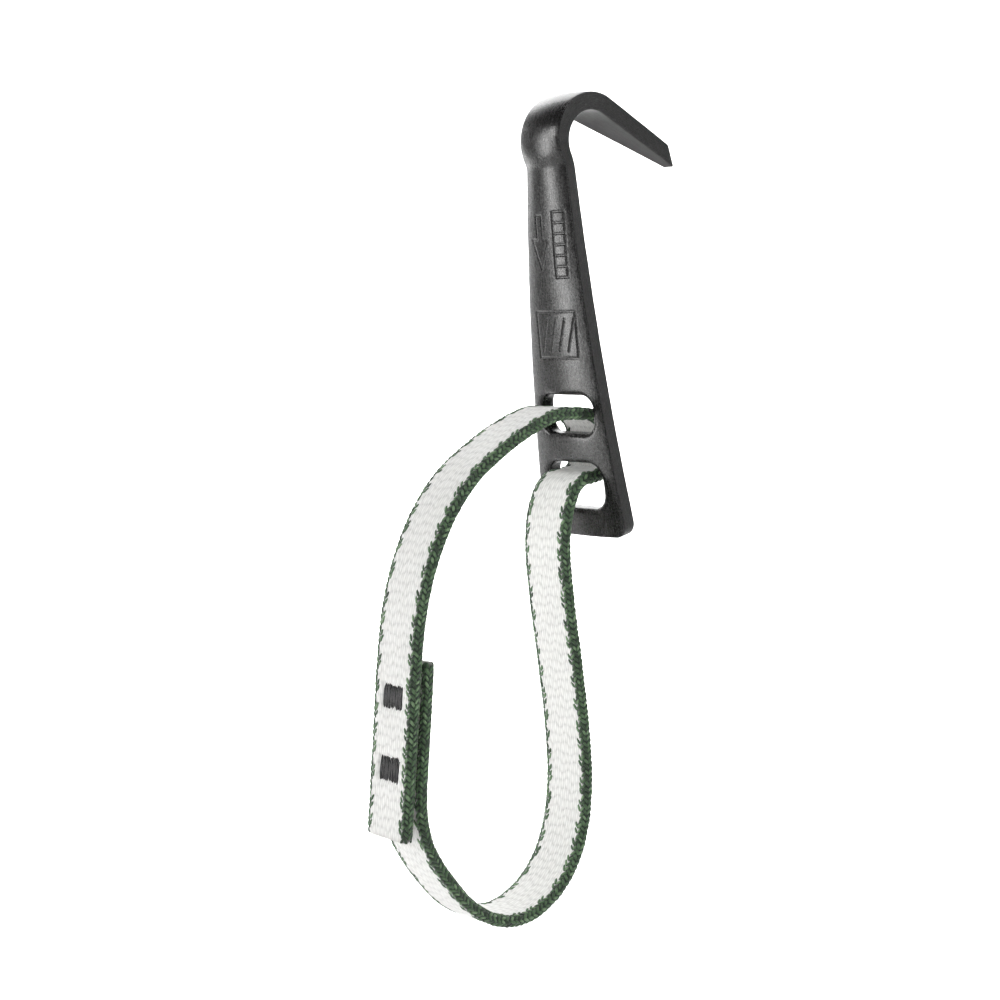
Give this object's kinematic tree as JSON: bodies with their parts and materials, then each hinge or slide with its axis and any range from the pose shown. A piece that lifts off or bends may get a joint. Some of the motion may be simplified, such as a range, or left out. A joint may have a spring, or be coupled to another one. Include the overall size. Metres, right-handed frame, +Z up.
{
  "type": "aid climbing hook",
  "caption": "Bent steel hanging hook with a tapered beak and a slotted foot, threaded with a sewn loop of flat webbing that carries the climber's weight.",
  "frame": {"origin": "centre of the flat end of the beak, which the hook hangs by", "axes": "+Z up along the shank, -Y towards the shank's outer face and the sling, +Y along the beak towards the rock, X across the plate"},
  "size_m": [0.0244, 0.0823, 0.1589],
  "materials": {
    "black_steel": "semi-gloss black finish on forged steel plate, duller on the cut edges",
    "webbing": "off-white woven tape with braided green edges",
    "thread": "black bonded sewing thread"
  },
  "bodies": {
    "hook": {"hook_plate": "black_steel", "sling_bight": "webbing"},
    "sling": {"sling_front_strand": "webbing", "sling_back_strand": "webbing", "bar_tack_upper": "thread", "bar_tack_lower": "thread"}
  },
  "joints": [
    {"name": "sling_swing", "type": "hinge", "parent": "hook", "child": "sling", "pos_m": [0, -0.02915, -0.05574], "axis": [-1, 0, 0], "range_deg": [-20, 16]}
  ]
}
